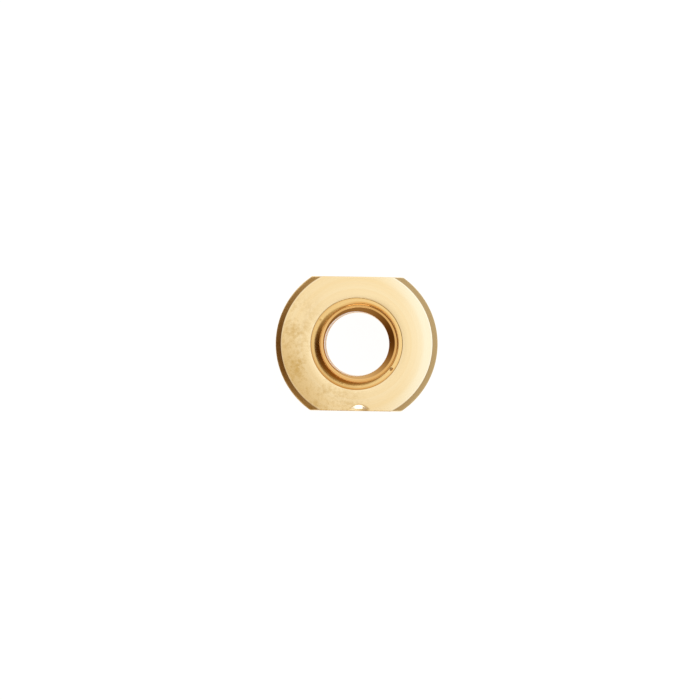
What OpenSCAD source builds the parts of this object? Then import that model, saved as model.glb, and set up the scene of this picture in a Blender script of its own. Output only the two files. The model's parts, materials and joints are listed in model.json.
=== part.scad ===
// T-slot nut turned from round brass bar: a flat head with two milled flats,
// a short round neck that enters the mouth of the slot, and one tapped hole.
// The nut stands on the end of its neck, at Z = 0, with the head's open face up.
// The thread's axis is Z, and the flats run along X and face +Y and -Y.

/* [Head] */
// Diameter of the head, which is the bar's own
head_d = 12.7; // [11.5:0.1:20]
// Width across the two flats
across_flats = 10.5; // [9.2:0.1:11.4]
// Height of the head, from its shoulder to its open face
head_h = 4.8; // [2.5:0.1:10]
// Radial width of the chamfer round the open face
face_chamfer = 0.42; // [0.1:0.02:1]
// Angle of that chamfer, from the plane of the face
face_chamfer_angle = 45; // [20:1:60]
// Edge break round the rim of the shoulder
rim_break = 0.15; // [0.05:0.05:0.5]

/* [Neck] */
// Diameter of the neck, which enters the mouth of the slot
neck_d = 8.4; // [7.8:0.1:9.2]
// Height of the neck, from its end to the shoulder
neck_h = 2.4; // [1.4:0.1:6]
// Chamfer round the end of the neck
neck_chamfer = 0.3; // [0.1:0.05:0.5]
// Radius of the fillet where the neck meets the shoulder
neck_fillet = 0.2; // [0.1:0.05:0.3]

/* [Tapped hole] */
// Diameter of the hole at the crests of its thread
crest_d = 5.1; // [4:0.05:5.8]
// Diameter of the countersink at the open face
face_sink_d = 7.2; // [6:0.1:9]
// Diameter of the countersink at the end of the neck
neck_sink_d = 6.7; // [6:0.1:6.8]
// Included angle of both countersinks
sink_angle = 90; // [80:1:120]

/* [Hidden] */

// Facets of round surfaces in the preview
$fn = 128;
// How far a cut runs out past the surface where it starts
run_out = 1;

head_r = head_d / 2;
neck_r = neck_d / 2;
crest_r = crest_d / 2;
face_z = neck_h + head_h;
face_chamfer_h = face_chamfer * tan(face_chamfer_angle);
sink_slope = tan(sink_angle / 2);

// Half section of the turned outside, from the axis outward, with X as the radius
module blank_section() {
    polygon([
        [0, 0],
        [neck_r - neck_chamfer, 0],
        [neck_r, neck_chamfer],
        [neck_r, neck_h],
        [head_r - rim_break, neck_h],
        [head_r, neck_h + rim_break],
        [head_r, face_z - face_chamfer_h],
        [head_r - face_chamfer, face_z],
        [0, face_z]
    ]);
    neck_fillet_section();
}

// Concave fillet in the corner between the neck and the shoulder
module neck_fillet_section() {
    difference() {
        translate([neck_r - neck_fillet, neck_h - neck_fillet])
            square(2 * neck_fillet);
        translate([neck_r + neck_fillet, neck_h - neck_fillet])
            circle(neck_fillet);
    }
}

// Turned outside of the nut, still round
module turned_blank() {
    rotate_extrude() blank_section();
}

// The two side cuts that leave the flats
module flat_cuts() {
    cut_w = head_d + 2 * run_out;
    for (side = [0, 180])
        rotate(side)
            translate([-cut_w / 2, across_flats / 2, -run_out])
                cube([cut_w, head_r, face_z + 2 * run_out]);
}

// Cone of a countersink of diameter d at Z = 0, which narrows downward to its point
module countersink(d) {
    mouth_r = d / 2 + run_out * sink_slope;
    depth = mouth_r / sink_slope;
    translate([0, 0, run_out - depth])
        cylinder(h = depth, r1 = 0, r2 = mouth_r);
}

// Through hole at the thread's crests, with a countersink at each mouth
module tapped_hole() {
    translate([0, 0, -run_out])
        cylinder(h = face_z + 2 * run_out, r = crest_r);
    translate([0, 0, face_z])
        countersink(face_sink_d);
    mirror([0, 0, 1])
        countersink(neck_sink_d);
}

module t_slot_nut() {
    color("#e6c88a")
        difference() {
            turned_blank();
            flat_cuts();
            tapped_hole();
        }
}

t_slot_nut();
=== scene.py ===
import json
import math

import bpy
import numpy as np
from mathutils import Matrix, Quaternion, Vector


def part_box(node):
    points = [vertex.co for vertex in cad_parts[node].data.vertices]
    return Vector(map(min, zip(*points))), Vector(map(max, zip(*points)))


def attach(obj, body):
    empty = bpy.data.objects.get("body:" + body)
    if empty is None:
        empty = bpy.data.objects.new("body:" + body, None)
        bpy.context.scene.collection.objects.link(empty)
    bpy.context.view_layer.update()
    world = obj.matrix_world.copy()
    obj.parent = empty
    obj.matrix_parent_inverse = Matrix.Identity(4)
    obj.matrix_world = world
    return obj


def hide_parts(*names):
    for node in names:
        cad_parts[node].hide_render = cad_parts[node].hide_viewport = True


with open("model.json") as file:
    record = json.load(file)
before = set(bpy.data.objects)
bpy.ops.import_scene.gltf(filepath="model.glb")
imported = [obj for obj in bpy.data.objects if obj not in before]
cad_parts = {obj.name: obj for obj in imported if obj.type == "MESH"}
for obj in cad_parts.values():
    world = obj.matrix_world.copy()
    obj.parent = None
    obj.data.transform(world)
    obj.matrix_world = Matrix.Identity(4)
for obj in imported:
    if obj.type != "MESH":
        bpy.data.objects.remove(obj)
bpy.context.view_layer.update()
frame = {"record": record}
mm = 0.001  # metres in a millimetre
print("frame loaded")


def toLinear(hexColour):
    channels = [int(hexColour[i:i + 2], 16) / 255 for i in (1, 3, 5)]
    return [c / 12.92 if c < 0.04045 else ((c + 0.055) / 1.055) ** 2.4 for c in channels] + [1.0]


def addNode(tree, kind, settings=None, inputs=None):
    node = tree.nodes.new(kind)
    for name, value in (settings or {}).items():
        setattr(node, name, value)
    for name, value in (inputs or {}).items():
        if isinstance(value, bpy.types.NodeSocket):
            tree.links.new(value, node.inputs[name])
        else:
            node.inputs[name].default_value = value
    return node


def newMaterial(name):
    material = bpy.data.materials.new(name)
    material.use_nodes = True
    material.node_tree.nodes.clear()
    return material


# The nut: sizes in millimetres, and angles in degrees, round the axis counter-clockwise from +X
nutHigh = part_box("t_slot_nut")[1]
mounts = {mount["name"]: mount for mount in frame["record"]["mounts"]}
nut = {
    "headRadius": nutHigh.x / mm,
    "flatWidth": nutHigh.y / mm,  # from the axis to a flat
    "faceHeight": nutHigh.z / mm,
    "shoulderHeight": mounts["shoulder"]["pos_m"][2] / mm,
    "neckRadius": mounts["neck"]["dims"]["r_mm"],
    "crestRadius": mounts["thread"]["dims"]["r_mm"],
    "faceChamfer": 0.42,
    "rimBreak": 0.15,  # edge break round the shoulder
    "neckChamfer": 0.3,
    "neckFillet": 0.2,
    "edge": 0.035,  # radius that wear has left on the edges
    "corner": 0.05,  # the same where a flat meets the round
    "faceSink": 3.6,  # radius of the countersink at the open face
    "neckSink": 3.35,  # and at the end of the neck
    "sinkAngle": 87.5,  # a little under the solid's 90, to mirror the rings that the photograph shows
    "ledgeBelow": 0.98,  # depth of the narrow ledge at the foot of the countersink
    "ledgeOuter": 3.02,
    "ledgeInner": 2.83,
    "ledgeAngle": 2,
    "ledgeAside": (0.16, 0.04),  # how far it lies off the axis
    "wallAngle": 7,  # lean of the short wall above the ledge
    "slopeAngle": 28,  # slope from the ledge to the bore
    "pitch": 1.27,  # 20 threads to the inch, right-hand
    "apexRadius": 3.3125,  # where the flanks of the groove would meet
    "flankAngle": 30,
    "rootRadius": 0.1375,
    "breakAngle": 130,  # where the groove begins
    "breakDepth": 1.6,  # and how far below the face
    "fadeTurns": 0.3,  # turns over which it grows to its full depth
    "fadeDepth": 0.8,  # what it lacks where it begins
    "soften": 0.012,  # width over which the edges in the bore are worn round
    "nickAngle": -35,  # a small nick in the countersink
    "nickBelow": 0.27,
    "nickSize": 0.06,
    "ledgeShade": 0.48,  # painted shade on the ledge
    "boreShade": 0.42,  # and painted shade below it
    "shadeLoss": 0.3,  # how much less painted shade the thread has farther down
    "shadeLossFrom": 0.3,  # turns below the ledge at which that starts
    "footShade": 0.5,  # painted shade above the ledge, on one side
    "footAngle": 240,
    "footFocus": 4,  # the higher, the shorter the painted shade is
    "footBelow": 0.36,  # depth at which it begins
    "footBlend": 0.1,
    "sideShade": 0.5,  # painted shade on one side of the countersink's edge
    "sideShadeAngle": 255,
    "sideShadeDepth": 0.2,
    "dentCentre": 0.28,  # along the front flat
    "dentLength": 1.4,
    "dentWidth": 0.34,
    "dentLip": 0.17,  # strip between the dent and the flat
    "dentSlope": 8,
    "dentBlend": (0.08, 0.04),  # over which its painted highlight begins, at the axis's side and at the lip
    "edgeHighlight": 0.25,  # how pale the painted highlight along the face's round edge is
    "edgeHighlightWidth": 0.12,
    "arcSteps": 40,
    "cornerSteps": 3,
    "flatSteps": 22,
    "flatCrowding": 1.4,  # brings the steps closer together near the dent
    "edgeSteps": 4,
    "filletSteps": 6,
    "pitchSteps": 34,
    "mouthSteps": 30,  # closer rows above and below the ledge
    "mouthZone": 1.4,  # depth to which these go
    "ledgeSteps": 8,
    "rowGap": 0.3,  # least gap from the thread's rows to the loops at the ends, as a share of a step
    "faceRows": (0.3, 0.65),  # where loops lie between one edge and the next
    "chamferRows": (0.34, 0.67),
    "sideRows": (0.2, 0.4, 0.6, 0.8),
    "shoulderRows": (0.25, 0.5, 0.75, 1.0),
    "neckRows": (0.3, 0.65),
    "faceInsets": (0.62, 0.54, 0.48, 0.42, 0.35, 0.28, 0.22, 0.17, 0.13, 0.09, 0.05),  # close, for the dent
}
face = nut["faceHeight"]
shoulder = nut["shoulderHeight"]
head = nut["headRadius"]
flat = nut["flatWidth"]
neck = nut["neckRadius"]
pitch = nut["pitch"]
sinkSlope = math.tan(math.radians(nut["sinkAngle"] / 2))
ledgeWidth = nut["ledgeOuter"] - nut["ledgeInner"]
ledgeTop = nut["ledgeBelow"]
ledgeFoot = ledgeTop + ledgeWidth * math.tan(math.radians(nut["ledgeAngle"]))
ledgeMiddle = (ledgeTop + ledgeFoot) / 2


# One loop of the head, counter-clockwise from +X: two arcs, two flats and their worn corners
def headLoop(radius, width, roundHeight, flatHeight):
    corner = nut["corner"]
    reach = math.sqrt((radius - corner) ** 2 - (width - corner) ** 2)
    turn = math.atan2(width - corner, reach)
    quarter = []
    for i in range(nut["arcSteps"] + 1):
        a = turn * i / nut["arcSteps"]
        quarter.append((radius * math.cos(a), radius * math.sin(a), roundHeight))
    for i in range(1, nut["cornerSteps"] + 1):
        t = i / nut["cornerSteps"]
        a = turn + (math.pi / 2 - turn) * t
        z = roundHeight + (flatHeight - roundHeight) * t
        quarter.append((reach + corner * math.cos(a), width - corner + corner * math.sin(a), z))
    for i in range(1, nut["flatSteps"] + 1):
        t = (1 - i / nut["flatSteps"]) ** nut["flatCrowding"]
        quarter.append((reach * t, width, flatHeight))
    quarter = np.array(quarter)
    return np.concatenate((
        quarter,
        quarter[-2::-1] * (-1, 1, 1),
        quarter[1:] * (-1, -1, 1),
        quarter[-2:0:-1] * (1, -1, 1),
    ))


outline = headLoop(head, flat, 0, 0)
angles = np.unwrap(np.arctan2(outline[:, 1], outline[:, 0]))
columns = len(angles)
onFlat = np.abs(np.abs(outline[:, 1]) - flat) < 1e-6


def roundLoop(radius, height):
    height = height + np.zeros(columns)
    return np.stack((radius * np.cos(angles), radius * np.sin(angles), height), axis=1)


# Points of a worn edge between two straight lines of a section, as radius and height
def wornEdge(before, at, after):
    before, at, after = (np.array(p, float) for p in (before, at, after))
    first = (before - at) / np.linalg.norm(before - at)
    second = (after - at) / np.linalg.norm(after - at)
    half = math.acos(np.dot(first, second)) / 2
    middle = (first + second) / np.linalg.norm(first + second)
    across = (second - first) / np.linalg.norm(second - first)
    radius = nut["edge"]
    centre = at + middle * radius / math.sin(half)
    points = []
    for i in range(nut["edgeSteps"] + 1):
        a = (math.pi / 2 - half) * (2 * i / nut["edgeSteps"] - 1)
        points.append(centre - middle * radius * math.cos(a) + across * radius * math.sin(a))
    return points


# The larger of two radii, with the edge between them worn round
def softMax(a, b):
    overlap = np.clip(nut["soften"] - np.abs(a - b), 0, None)
    return np.maximum(a, b) + overlap ** 2 / (4 * nut["soften"])


def ledgeShift(angle):
    return nut["ledgeAside"][0] * np.cos(angle) + nut["ledgeAside"][1] * np.sin(angle)


# One at an angle in degrees, and falling to nothing at the opposite side
def oneSided(angle, degrees):
    return (1 + np.cos(angle - math.radians(degrees))) / 2


def grooveRadius(angle, height):
    start = face - nut["breakDepth"]
    groove = start + pitch * (angle - math.radians(nut["breakAngle"])) / (2 * math.pi)
    nearest = groove + pitch * np.round((height - groove) / pitch)
    away = np.abs(height - nearest)
    t = np.clip((start - nearest) / (pitch * nut["fadeTurns"]), 0, 1)
    apex = nut["apexRadius"] - nut["fadeDepth"] * (1 - t * t * (3 - 2 * t))
    root = nut["rootRadius"]
    lean = math.radians(nut["flankAngle"])
    rounded = apex - 2 * root + np.sqrt(np.clip(root ** 2 - away ** 2, 0, None))
    return np.where(away < root * math.cos(lean), rounded, apex - away / math.tan(lean))


# The bore before it is tapped: a countersink at each end, the ledge's wall and slope, and the plain hole
def drilledRadius(angle, height):
    below = face - height
    wall = nut["ledgeOuter"] - (below - ledgeTop) * math.tan(math.radians(nut["wallAngle"]))
    slope = nut["ledgeInner"] - (below - ledgeFoot) / math.tan(math.radians(nut["slopeAngle"]))
    stepped = np.where(below > ledgeMiddle, slope, wall) + ledgeShift(angle)
    drilled = softMax(nut["faceSink"] - below * sinkSlope, stepped)
    drilled = softMax(drilled, nut["crestRadius"])
    return softMax(drilled, nut["neckSink"] - height * sinkSlope)


def nickDepth(angle, height):
    turn = (angle - math.radians(nut["nickAngle"]) + math.pi) % (2 * math.pi) - math.pi
    sideways = turn * nut["faceSink"] / nut["nickSize"]
    upward = (height - face + nut["nickBelow"]) / nut["nickSize"]
    return nut["nickSize"] * np.exp(-sideways ** 2 - upward ** 2)


# Radius of the bore's wall at an angle and a height, and how much painted shade it has there
def boreWall(angle, height):
    below = face - height
    drilled = drilledRadius(angle, height)
    tapped = softMax(grooveRadius(angle, height), drilled)
    # Painted shade: darker with the depth of the groove and below the ledge, less of it farther down, and
    # darker on one side above the ledge and at the countersink's edge
    lessShade = 1 - nut["shadeLoss"] * np.clip((below - ledgeFoot) / pitch - nut["shadeLossFrom"], 0, 1)
    deepShade = np.maximum(tapped - drilled, nut["boreShade"] * (below > ledgeMiddle)) * lessShade
    foot = nut["footShade"] * oneSided(angle, nut["footAngle"]) ** nut["footFocus"]
    foot = foot * np.clip((below - nut["footBelow"]) / nut["footBlend"], 0, 1) * (below < ledgeTop)
    sideShade = nut["sideShade"] * oneSided(angle, nut["sideShadeAngle"]) * np.exp(-(below / nut["sideShadeDepth"]) ** 2)
    return tapped + nickDepth(angle, height), np.maximum(np.maximum(deepShade, foot), sideShade)


# Loops from the upper bore over the face, down the outside and in to the lower mouth
loops = []
shadeMask = []


def addBoreLoops(heights):
    for z in heights:
        radius, deepShade = boreWall(angles, z)
        loops.append(roundLoop(radius, z))
        shadeMask.append(deepShade)


mouth = wornEdge((nut["faceSink"] - sinkSlope, face - 1), (nut["faceSink"], face), (head, face))
addBoreLoops(np.linspace(face - nut["mouthZone"], face - ledgeFoot, nut["mouthSteps"]))
for t in np.linspace(0, 1, nut["ledgeSteps"])[1:]:
    below = ledgeFoot + (ledgeTop - ledgeFoot) * t
    radius = nut["ledgeInner"] + ledgeWidth * t + ledgeShift(angles)
    loops.append(roundLoop(np.maximum(radius, nut["faceSink"] - below * sinkSlope), face - below))
    # painted shade on the ledge
    shadeMask.append(np.full(columns, nut["ledgeShade"]))
addBoreLoops(np.linspace(face - ledgeTop, mouth[0][1], nut["mouthSteps"])[1:-1])
for radius, z in mouth:
    loops.append(roundLoop(radius, z))
    shadeMask.append(boreWall(angles, z)[1])
boreEnd = len(loops) - 1

chamferTop = head - nut["faceChamfer"]
chamferFoot = face - nut["faceChamfer"]
rimRound = wornEdge((0, face), (chamferTop, face), (head, chamferFoot))
rimFlat = wornEdge((0, face), (flat, face), (flat, 0))
faceRound = rimRound[0][0]
faceFlat = rimFlat[0][0]
faceStart = len(loops)
insets = nut["faceInsets"]
inner = loops[-1]
outer = headLoop(faceRound - insets[0], faceFlat - insets[0], face, face)
loops += [inner + (outer - inner) * t for t in nut["faceRows"]]
loops += [headLoop(faceRound - inset, faceFlat - inset, face, face) for inset in insets]
loops += [headLoop(r, w, zr, zw) for (r, zr), (w, zw) in zip(rimRound, rimFlat)]
faceEnd = len(loops)

chamferLow = wornEdge((chamferTop, face), (head, chamferFoot), (head, 0))
for t in nut["chamferRows"]:
    r, zr = rimRound[-1] + (chamferLow[0] - rimRound[-1]) * t
    zw = rimFlat[-1][1] + (chamferLow[0][1] - rimFlat[-1][1]) * t
    loops.append(headLoop(r, flat, zr, zw))
loops += [headLoop(r, flat, z, z) for r, z in chamferLow]

breakTop = shoulder + nut["rimBreak"]
breakFoot = head - nut["rimBreak"]
rimUpper = wornEdge((head, face), (head, breakTop), (breakFoot, shoulder))
rimLower = wornEdge((head, breakTop), (breakFoot, shoulder), (0, shoulder))
rimFoot = wornEdge((flat, face), (flat, shoulder), (0, shoulder))
for t in nut["sideRows"]:
    z = chamferFoot + (breakTop - chamferFoot) * t
    loops.append(headLoop(head, flat, z, z))
loops += [headLoop(r, flat, z, z) for r, z in rimUpper]
sideEnd = len(loops)
loops += [headLoop(r, w, zr, zw) for (r, zr), (w, zw) in zip(rimLower, rimFoot)]

fillet = nut["neckFillet"]
filletFoot = shoulder - fillet
outer = loops[-1]
inner = roundLoop(neck + fillet, shoulder)
loops += [outer + (inner - outer) * t for t in nut["shoulderRows"]]
for i in range(1, nut["filletSteps"] + 1):
    a = math.pi / 2 * i / nut["filletSteps"]
    loops.append(roundLoop(neck + fillet - fillet * math.sin(a), filletFoot + fillet * math.cos(a)))
chamfer = nut["neckChamfer"]
neckUpper = wornEdge((neck, shoulder), (neck, chamfer), (neck - chamfer, 0))
neckLower = wornEdge((neck, chamfer), (neck - chamfer, 0), (0, 0))
neckMouth = wornEdge((neck, 0), (nut["neckSink"], 0), (nut["neckSink"] - sinkSlope, 1))
loops += [roundLoop(neck, filletFoot + (chamfer - filletFoot) * t) for t in nut["neckRows"]]
loops += [roundLoop(r, z) for r, z in neckUpper + neckLower + neckMouth]
shadeMask += [np.zeros(columns)] * (len(loops) - len(shadeMask))

# The dent, a lens pressed into the face beside the front flat, with a painted highlight on it, and a painted
# highlight along the face's round edge
paintedShine = [np.zeros(columns) for loop in loops]
dentFall = math.tan(math.radians(nut["dentSlope"]))
for i in range(faceStart, faceEnd):
    x, y = loops[i][:, 0], loops[i][:, 1]
    swell = np.clip(1 - (2 * (x - nut["dentCentre"]) / nut["dentLength"]) ** 2, 0, 1)
    width = nut["dentWidth"] * swell
    fromLip = flat + y - nut["dentLip"]
    inward = width - fromLip
    loops[i][:, 2] -= np.clip(inward, 0, width) * dentFall
    dentHighlight = np.clip(inward / nut["dentBlend"][0], 0, 1) * np.clip(fromLip / nut["dentBlend"][1], 0, 1)
    fromEdge = faceRound - np.hypot(x, y)
    edgeHighlight = nut["edgeHighlight"] * np.clip(1 - fromEdge / nut["edgeHighlightWidth"], 0, 1)
    paintedShine[i] = np.maximum(dentHighlight * (swell > 0), edgeHighlight * ~onFlat)

points = np.concatenate(loops)
paintedShine = np.concatenate(paintedShine)
shadeMask = np.concatenate(shadeMask)
faces = []
finish = []
turnedPart, milledPart, tappedPart = range(3)  # order of the materials
for i in range(len(loops) - 1):
    for c in range(columns):
        d = (c + 1) % columns
        faces.append([i * columns + c, (i + 1) * columns + c, (i + 1) * columns + d, i * columns + d])
        onSide = faceEnd - 1 <= i < sideEnd and onFlat[c] and onFlat[d]
        finish.append(tappedPart if i < boreEnd else milledPart if onSide else turnedPart)

# The rest of the bore, in rows that follow the thread and end in the loops above and below
boreTop = loops[0][0][2]
boreFoot = loops[-1][0][2]
footLoop = (len(loops) - 1) * columns
pitchSteps = nut["pitchSteps"]
step = pitch / pitchSteps
gap = nut["rowGap"] * step
rows = math.ceil((boreTop - boreFoot + pitch) / step) + 1
rise = pitch * (angles - angles[0]) / (2 * math.pi)
heights = boreFoot - pitch + step * np.arange(rows)[:, None] + rise[None, :]
radii, rowShades = boreWall(angles[None, :], heights)
inside = (heights > boreFoot + gap) & (heights < boreTop - gap)
ids = np.where(heights < boreTop - gap, footLoop, 0) + np.arange(columns)[None, :]
ids[inside] = len(points) + np.arange(inside.sum())
bore = np.stack((radii * np.cos(angles), radii * np.sin(angles), heights), axis=2)
points = np.concatenate((points, bore[inside]))
paintedShine = np.concatenate((paintedShine, np.zeros(inside.sum())))
shadeMask = np.concatenate((shadeMask, rowShades[inside]))
seam = [ids[k][0] if k < rows else 0 for k in range(pitchSteps, pitchSteps + rows)]  # one turn farther on
for c in range(columns):
    ahead = seam if c == columns - 1 else ids[:, c + 1]
    for j in range(rows - 1):
        corners = list(dict.fromkeys((ids[j][c], ids[j + 1][c], ahead[j + 1], ahead[j])))
        if len(corners) > 2:
            faces.append([int(v) for v in corners])
            finish.append(tappedPart)

nutMesh = bpy.data.meshes.new("tSlotNut")
nutMesh.from_pydata((points * mm).tolist(), [], faces)
nutMesh.polygons.foreach_set("material_index", finish)
nutMesh.polygons.foreach_set("use_smooth", [True] * len(faces))
nutMesh.attributes.new("paintedShine", "FLOAT", "POINT").data.foreach_set("value", paintedShine)
nutMesh.attributes.new("shadeMask", "FLOAT", "POINT").data.foreach_set("value", shadeMask)
nutMesh.update()
nutPiece = bpy.data.objects.new("tSlotNut", nutMesh)
bpy.context.scene.collection.objects.link(nutPiece)
nutPiece.modifiers.new("even shading", "WEIGHTED_NORMAL")
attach(nutPiece, "root")
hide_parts("t_slot_nut")
print("nut built", len(points), "points", len(faces), "faces")

# Turned brass gives the eye a pale face, lighter on one side with painted light, darker on the other with
# painted shade and spots that are partly tarnish and partly painted mottled reflection, with faint rings and
# painted highlights on the dent and along the round edge
turned = {
    "colour": "#f4d69e",
    "light": "#fbecc8",
    "shadeSideColour": "#e0be82",
    "spotted": "#cfa862",
    "paintedHighlight": "#fff8e8",
    "lightSide": (0.249, 0.022, 0),  # direction in which the face's outer part is lighter, painted light
    "lightRound": 0.75,  # how far that follows the distance from the axis
    "lightFrom": (4.2, 5.9),  # where it begins and is full
    "rubbed": 0.2,  # how much lighter the face is round the hole
    "rubbedFrom": (4.8, 4.0),
    "shadeAndSpotSide": (-0.866, -0.5, 0),  # direction in which the face is darker with painted shade, and spotted
    "shadeSideFrom": (3.2, 6.0),
    "spotsFrom": (0.0, 5.4),
    "spots": (0.02, 0.85),  # how dark the spots are at either end
    "spotEdge": (0.2, 0.39),  # levels of the noise between which a spot fades in
    "patch": 1.6,  # size of the spotted areas
    "speck": 0.3,  # size of the spots in them
    "ring": 0.7,  # width of the turning rings, drawn coarser than the real feed of 0.1
    "ringDown": -0.6,  # how they go on down the sides
    "ringEdge": (0.4, 0.6),
    "ringLight": 0.2,
    "roughness": 0.13,
    "relief": 0.0008,  # height of the rings
}
turnedBrass = newMaterial("turned brass")
tree = turnedBrass.node_tree
place = addNode(tree, "ShaderNodeTexCoord").outputs["Object"]
inMm = addNode(tree, "ShaderNodeVectorMath", {"operation": "SCALE"}, {0: place, "Scale": 1 / mm}).outputs[0]
axes = addNode(tree, "ShaderNodeSeparateXYZ", None, {"Vector": inMm})
flatways = addNode(tree, "ShaderNodeVectorMath", {"operation": "MULTIPLY"}, {0: inMm, 1: (1, 1, 0)})
radius = addNode(tree, "ShaderNodeVectorMath", {"operation": "LENGTH"}, {0: flatways.outputs[0]})
along = addNode(tree, "ShaderNodeMath", {"operation": "MULTIPLY_ADD"}, {
    0: axes.outputs["Z"], 1: turned["ringDown"], 2: radius.outputs["Value"]})
rings = addNode(tree, "ShaderNodeTexNoise", {"noise_dimensions": "1D"}, {
    "W": along.outputs[0], "Scale": 1 / turned["ring"], "Detail": 2.0, "Roughness": 0.6})
patches = addNode(tree, "ShaderNodeTexNoise", None, {
    "Vector": inMm, "Scale": 1 / turned["patch"], "Detail": 2.0})
specks = addNode(tree, "ShaderNodeTexNoise", None, {
    "Vector": inMm, "Scale": 1 / turned["speck"], "Detail": 3.0, "Roughness": 0.6})

# Where it is lighter: painted light at the outer part of one side of the face, and along some rings and
# round the hole
across = addNode(tree, "ShaderNodeVectorMath", {"operation": "DOT_PRODUCT"}, {
    0: inMm, 1: turned["lightSide"]})
outward = addNode(tree, "ShaderNodeMath", {"operation": "MULTIPLY_ADD"}, {
    0: radius.outputs["Value"], 1: turned["lightRound"], 2: across.outputs["Value"]})
onFace = addNode(tree, "ShaderNodeMapRange", None, {
    "Value": axes.outputs["Z"], "From Min": face - 2 * nut["faceChamfer"], "From Max": chamferFoot})
paintedSideLight = addNode(tree, "ShaderNodeMapRange", {"interpolation_type": "SMOOTHSTEP"}, {
    "Value": outward.outputs[0], "From Min": turned["lightFrom"][0], "From Max": turned["lightFrom"][1],
    "To Max": onFace.outputs["Result"]})
ringLight = addNode(tree, "ShaderNodeMapRange", None, {
    "Value": rings.outputs["Fac"], "From Min": turned["ringEdge"][0], "From Max": turned["ringEdge"][1],
    "To Max": turned["ringLight"]})
holeLight = addNode(tree, "ShaderNodeMapRange", {"interpolation_type": "SMOOTHSTEP"}, {
    "Value": radius.outputs["Value"], "From Min": turned["rubbedFrom"][0],
    "From Max": turned["rubbedFrom"][1], "To Max": turned["rubbed"]})
lighter = addNode(tree, "ShaderNodeMath", {"operation": "ADD"}, {
    0: paintedSideLight.outputs["Result"], 1: ringLight.outputs["Result"]})
lighter = addNode(tree, "ShaderNodeMath", {"operation": "ADD"}, {
    0: lighter.outputs[0], 1: holeLight.outputs["Result"]})

# Where it is darker with painted shade on one side, and spotted; the spots are partly tarnish and partly
# painted mottled reflection
across = addNode(tree, "ShaderNodeVectorMath", {"operation": "DOT_PRODUCT"}, {
    0: inMm, 1: turned["shadeAndSpotSide"]})
paintedShadeSide = addNode(tree, "ShaderNodeMapRange", {"interpolation_type": "SMOOTHSTEP"}, {
    "Value": across.outputs["Value"], "From Min": turned["shadeSideFrom"][0], "From Max": turned["shadeSideFrom"][1]})
spotSide = addNode(tree, "ShaderNodeMapRange", {"interpolation_type": "SMOOTHSTEP"}, {
    "Value": across.outputs["Value"], "From Min": turned["spotsFrom"][0], "From Max": turned["spotsFrom"][1],
    "To Min": turned["spots"][0], "To Max": turned["spots"][1]})
blotch = addNode(tree, "ShaderNodeMath", {"operation": "MULTIPLY"}, {
    0: patches.outputs["Fac"], 1: specks.outputs["Fac"]})
bloom = addNode(tree, "ShaderNodeMapRange", None, {
    "Value": blotch.outputs[0], "From Min": turned["spotEdge"][0], "From Max": turned["spotEdge"][1]})
spots = addNode(tree, "ShaderNodeMath", {"operation": "MULTIPLY"}, {
    0: bloom.outputs["Result"], 1: spotSide.outputs["Result"]})
# Painted highlights: a pale colour on the dent and along the face's round edge
highlightMask = addNode(tree, "ShaderNodeAttribute", {"attribute_name": "paintedShine"})

colour = addNode(tree, "ShaderNodeMix", {"data_type": "RGBA"}, {
    0: lighter.outputs[0], 6: toLinear(turned["colour"]), 7: toLinear(turned["light"])})
colour = addNode(tree, "ShaderNodeMix", {"data_type": "RGBA"}, {
    0: paintedShadeSide.outputs["Result"], 6: colour.outputs[2], 7: toLinear(turned["shadeSideColour"])})
colour = addNode(tree, "ShaderNodeMix", {"data_type": "RGBA"}, {
    0: spots.outputs[0], 6: colour.outputs[2], 7: toLinear(turned["spotted"])})
colour = addNode(tree, "ShaderNodeMix", {"data_type": "RGBA"}, {
    0: highlightMask.outputs["Fac"], 6: colour.outputs[2], 7: toLinear(turned["paintedHighlight"])})
relief = addNode(tree, "ShaderNodeBump", None, {
    "Height": rings.outputs["Fac"], "Distance": turned["relief"] * mm})
shader = addNode(tree, "ShaderNodeBsdfPrincipled", None, {
    "Base Color": colour.outputs[2], "Metallic": 1.0, "Roughness": turned["roughness"],
    "Normal": relief.outputs["Normal"]})
addNode(tree, "ShaderNodeOutputMaterial", None, {"Surface": shader.outputs["BSDF"]})

# Milled brass gives the eye fine straight marks along the flats
milled = {
    "colour": "#f0d39c",
    "shade": "#dcbb80",
    "mark": 0.12,  # height of a cutter mark
    "markLength": 4.0,
    "roughness": 0.22,
    "relief": 0.0015,
}
milledBrass = newMaterial("milled brass")
tree = milledBrass.node_tree
place = addNode(tree, "ShaderNodeTexCoord").outputs["Object"]
stretched = addNode(tree, "ShaderNodeVectorMath", {"operation": "MULTIPLY"}, {
    0: place, 1: (1 / (milled["markLength"] * mm), 1 / mm, 1 / (milled["mark"] * mm))})
marks = addNode(tree, "ShaderNodeTexNoise", None, {
    "Vector": stretched.outputs[0], "Scale": 1.0, "Detail": 2.0})
colour = addNode(tree, "ShaderNodeMix", {"data_type": "RGBA"}, {
    0: marks.outputs["Fac"], 6: toLinear(milled["shade"]), 7: toLinear(milled["colour"])})
relief = addNode(tree, "ShaderNodeBump", None, {
    "Height": marks.outputs["Fac"], "Distance": milled["relief"] * mm})
shader = addNode(tree, "ShaderNodeBsdfPrincipled", None, {
    "Base Color": colour.outputs[2], "Metallic": 1.0, "Roughness": milled["roughness"],
    "Normal": relief.outputs["Normal"]})
addNode(tree, "ShaderNodeOutputMaterial", None, {"Surface": shader.outputs["BSDF"]})

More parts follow.
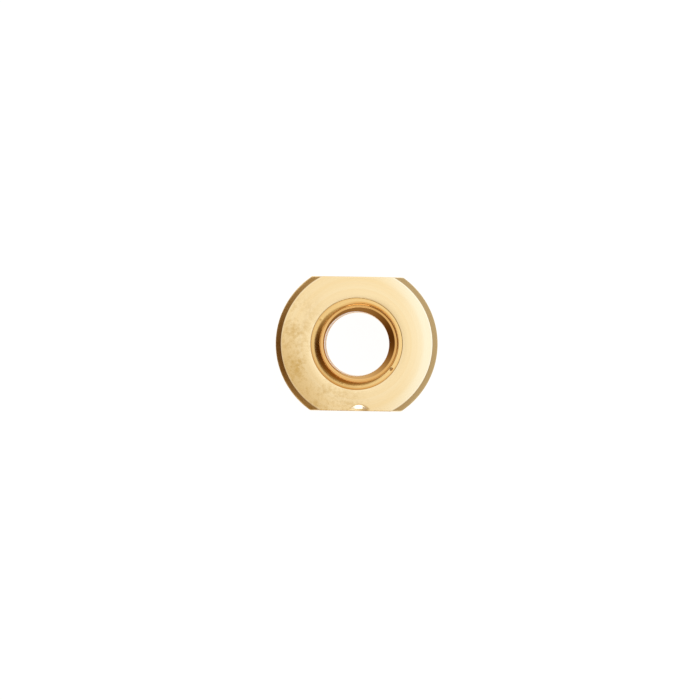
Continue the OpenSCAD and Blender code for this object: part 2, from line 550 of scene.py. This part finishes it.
# Tapped brass gives the eye a bright smooth countersink and a thread that browns into its groove with
# painted shade
tapped = {
    "colour": "#f5e0b6",
    "shadeColour": "#d8962c",
    "shadeRange": (0.15, 0.5),  # mask value at which the painted shade begins and is darkest
    "paintedShade": 0.8,
    "roughness": 0.06,
}
tappedBrass = newMaterial("tapped brass")
tree = tappedBrass.node_tree
shadeAttribute = addNode(tree, "ShaderNodeAttribute", {"attribute_name": "shadeMask"})
paintedShade = addNode(tree, "ShaderNodeMapRange", None, {
    "Value": shadeAttribute.outputs["Fac"], "From Min": tapped["shadeRange"][0], "From Max": tapped["shadeRange"][1],
    "To Max": tapped["paintedShade"]})
colour = addNode(tree, "ShaderNodeMix", {"data_type": "RGBA"}, {
    0: paintedShade.outputs["Result"], 6: toLinear(tapped["colour"]), 7: toLinear(tapped["shadeColour"])})
shader = addNode(tree, "ShaderNodeBsdfPrincipled", None, {
    "Base Color": colour.outputs[2], "Metallic": 1.0, "Roughness": tapped["roughness"]})
addNode(tree, "ShaderNodeOutputMaterial", None, {"Surface": shader.outputs["BSDF"]})

for material in (turnedBrass, milledBrass, tappedBrass):
    nutMesh.materials.append(material)
print("brass finished")

# Floor: a plain white card, lit from below so that its shadows are faint, a little larger than the view
card = {
    "size": 90,
    "below": 0.02,  # gap under the nut
    "colour": "#6a6a6a",
    "light": "#ffffff",
    "glow": 0.95,
    "roughness": 0.9,
}
half = card["size"] / 2 * mm
floorMesh = bpy.data.meshes.new("floor")
cardCorners = [(-half, -half, 0), (half, -half, 0), (half, half, 0), (-half, half, 0)]
floorMesh.from_pydata(cardCorners, [], [(0, 1, 2, 3)])
floor = bpy.data.objects.new("floor", floorMesh)
floor.location.z = -card["below"] * mm
bpy.context.scene.collection.objects.link(floor)
whiteCard = newMaterial("white card")
tree = whiteCard.node_tree
shader = addNode(tree, "ShaderNodeBsdfPrincipled", None, {
    "Base Color": toLinear(card["colour"]), "Roughness": card["roughness"],
    "Emission Color": toLinear(card["light"]), "Emission Strength": card["glow"]})
addNode(tree, "ShaderNodeOutputMaterial", None, {"Surface": shader.outputs["BSDF"]})
floorMesh.materials.append(whiteCard)

# Room: white to the camera, warm where it is dim, dim to the left and open to the back and the right
room = {
    "seen": "#ffffff",
    "walls": 0.47,  # brightness at the height of the nut
    "wallTilt": (0.03, 0.03, 0),  # how it grows to the right and to the back
    "screen": 0.29,  # what a dark screen on the left takes away
    "screenFocus": 3.0,  # the higher, the narrower the screen is
    "upperTilt": (0, 0.45, 0),  # how it grows to the back, higher up
    "upperBend": 0.37,  # how much more of it front and back have than the sides, higher up
    "ceiling": 1.06,
    "ceilingFrom": (0.6, 0.9),  # heights between which the walls turn into the ceiling
    "ceilingTilt": (0.8, 0.35, 0),
    "ceilingBack": (0.34, 0.94, 0),  # direction away from the ceiling's dimmer front edge
    "ceilingEdge": (-0.09, -0.045),  # where that edge lies
    "ceilingDrop": 0.33,
    "least": 0.05,
    "warmth": (1.35, 1.95),  # how fast green and blue fall with the brightness
}
world = bpy.data.worlds.new("studio")
bpy.context.scene.world = world
world.use_nodes = True
tree = world.node_tree
tree.nodes.clear()
way = addNode(tree, "ShaderNodeTexCoord").outputs["Generated"]
axes = addNode(tree, "ShaderNodeSeparateXYZ", None, {"Vector": way})

tilt = addNode(tree, "ShaderNodeVectorMath", {"operation": "DOT_PRODUCT"}, {0: way, 1: room["wallTilt"]})
walls = addNode(tree, "ShaderNodeMath", {"operation": "ADD"}, {0: tilt.outputs["Value"], 1: room["walls"]})
leftward = addNode(tree, "ShaderNodeMath", {"operation": "MULTIPLY", "use_clamp": True}, {
    0: axes.outputs["X"], 1: -1.0})
screen = addNode(tree, "ShaderNodeMath", {"operation": "POWER"}, {
    0: leftward.outputs[0], 1: room["screenFocus"]})
walls = addNode(tree, "ShaderNodeMath", {"operation": "MULTIPLY_ADD"}, {
    0: screen.outputs[0], 1: -room["screen"], 2: walls.outputs[0]})
squares = addNode(tree, "ShaderNodeVectorMath", {"operation": "MULTIPLY"}, {0: way, 1: way})
bend = addNode(tree, "ShaderNodeVectorMath", {"operation": "DOT_PRODUCT"}, {
    0: squares.outputs[0], 1: (-room["upperBend"], room["upperBend"], 0)})
tilt = addNode(tree, "ShaderNodeVectorMath", {"operation": "DOT_PRODUCT"}, {0: way, 1: room["upperTilt"]})
upper = addNode(tree, "ShaderNodeMath", {"operation": "ADD"}, {
    0: bend.outputs["Value"], 1: tilt.outputs["Value"]})
walls = addNode(tree, "ShaderNodeMath", {"operation": "MULTIPLY_ADD"}, {
    0: upper.outputs[0], 1: axes.outputs["Z"], 2: walls.outputs[0]})

tilt = addNode(tree, "ShaderNodeVectorMath", {"operation": "DOT_PRODUCT"}, {0: way, 1: room["ceilingTilt"]})
ceiling = addNode(tree, "ShaderNodeMath", {"operation": "ADD"}, {
    0: tilt.outputs["Value"], 1: room["ceiling"]})
back = addNode(tree, "ShaderNodeVectorMath", {"operation": "DOT_PRODUCT"}, {0: way, 1: room["ceilingBack"]})
drop = addNode(tree, "ShaderNodeMapRange", {"interpolation_type": "SMOOTHSTEP"}, {
    "Value": back.outputs["Value"], "From Min": room["ceilingEdge"][0], "From Max": room["ceilingEdge"][1],
    "To Min": -room["ceilingDrop"], "To Max": 0.0})
ceiling = addNode(tree, "ShaderNodeMath", {"operation": "ADD"}, {
    0: ceiling.outputs[0], 1: drop.outputs["Result"]})

above = addNode(tree, "ShaderNodeMapRange", {"interpolation_type": "SMOOTHSTEP"}, {
    "Value": axes.outputs["Z"], "From Min": room["ceilingFrom"][0], "From Max": room["ceilingFrom"][1]})
level = addNode(tree, "ShaderNodeMix", None, {
    0: above.outputs["Result"], 2: walls.outputs[0], 3: ceiling.outputs[0]})
level = addNode(tree, "ShaderNodeMath", {"operation": "MAXIMUM"}, {0: level.outputs[0], 1: room["least"]})
green = addNode(tree, "ShaderNodeMath", {"operation": "POWER"}, {0: level.outputs[0], 1: room["warmth"][0]})
blue = addNode(tree, "ShaderNodeMath", {"operation": "POWER"}, {0: level.outputs[0], 1: room["warmth"][1]})
warm = addNode(tree, "ShaderNodeCombineColor", None, {
    "Red": level.outputs[0], "Green": green.outputs[0], "Blue": blue.outputs[0]})
path = addNode(tree, "ShaderNodeLightPath")
colour = addNode(tree, "ShaderNodeMix", {"data_type": "RGBA"}, {
    0: path.outputs["Is Camera Ray"], 6: warm.outputs["Color"], 7: toLinear(room["seen"])})
background = addNode(tree, "ShaderNodeBackground", None, {"Color": colour.outputs[2]})
addNode(tree, "ShaderNodeOutputWorld", None, {"Surface": background.outputs["Background"]})

# Lamp: a small soft box high at the front, which the dent mirrors
softBox = {"size": 0.08, "power": 0.03, "lean": 17.7, "distance": 0.4}  # metres, watts and degrees
lampData = bpy.data.lights.new("soft box", "AREA")
lampData.size = softBox["size"]
lampData.energy = softBox["power"]
lamp = bpy.data.objects.new("soft box", lampData)
lean = math.radians(softBox["lean"])
lamp.location = (0, -softBox["distance"] * math.sin(lean), softBox["distance"] * math.cos(lean))
lamp.rotation_euler = (-lean, 0, 0)
lamp.visible_camera = False
bpy.context.scene.collection.objects.link(lamp)
print("stage lit")

# Camera: almost straight above, placed so that the nut lies where the photograph has it
shot = {
    "width": 700,
    "nut": (356.4, 343.7),  # pixel at which the thread's axis lies
    "pixel": 0.0781,  # millimetres at the open face
    "gap": 150,  # from the lens to the open face
    "turn": 0.9,  # degrees by which the nut lies clockwise
    "aside": 1.2,  # degrees by which the lens stands to the right
    "sensor": 36,
    "clip": (0.01, 10),
}
lens = bpy.data.cameras.new("camera")
lens.sensor_width = shot["sensor"]
lens.lens = shot["sensor"] * shot["gap"] / (shot["width"] * shot["pixel"])
lens.clip_start, lens.clip_end = shot["clip"]
camera = bpy.data.objects.new("camera", lens)
right = (shot["nut"][0] - shot["width"] / 2) * shot["pixel"]
down = (shot["nut"][1] - shot["width"] / 2) * shot["pixel"]
leaning = Quaternion((0, 1, 0), math.radians(shot["aside"]))
camera.location = Vector((-right, down, face)) * mm + leaning @ Vector((0, 0, shot["gap"])) * mm
camera.rotation_mode = "QUATERNION"
camera.rotation_quaternion = leaning @ Quaternion((0, 0, 1), math.radians(shot["turn"]))
bpy.context.scene.collection.objects.link(camera)
bpy.context.scene.camera = camera
bpy.context.scene.view_settings.view_transform = "Standard"
print("camera set")
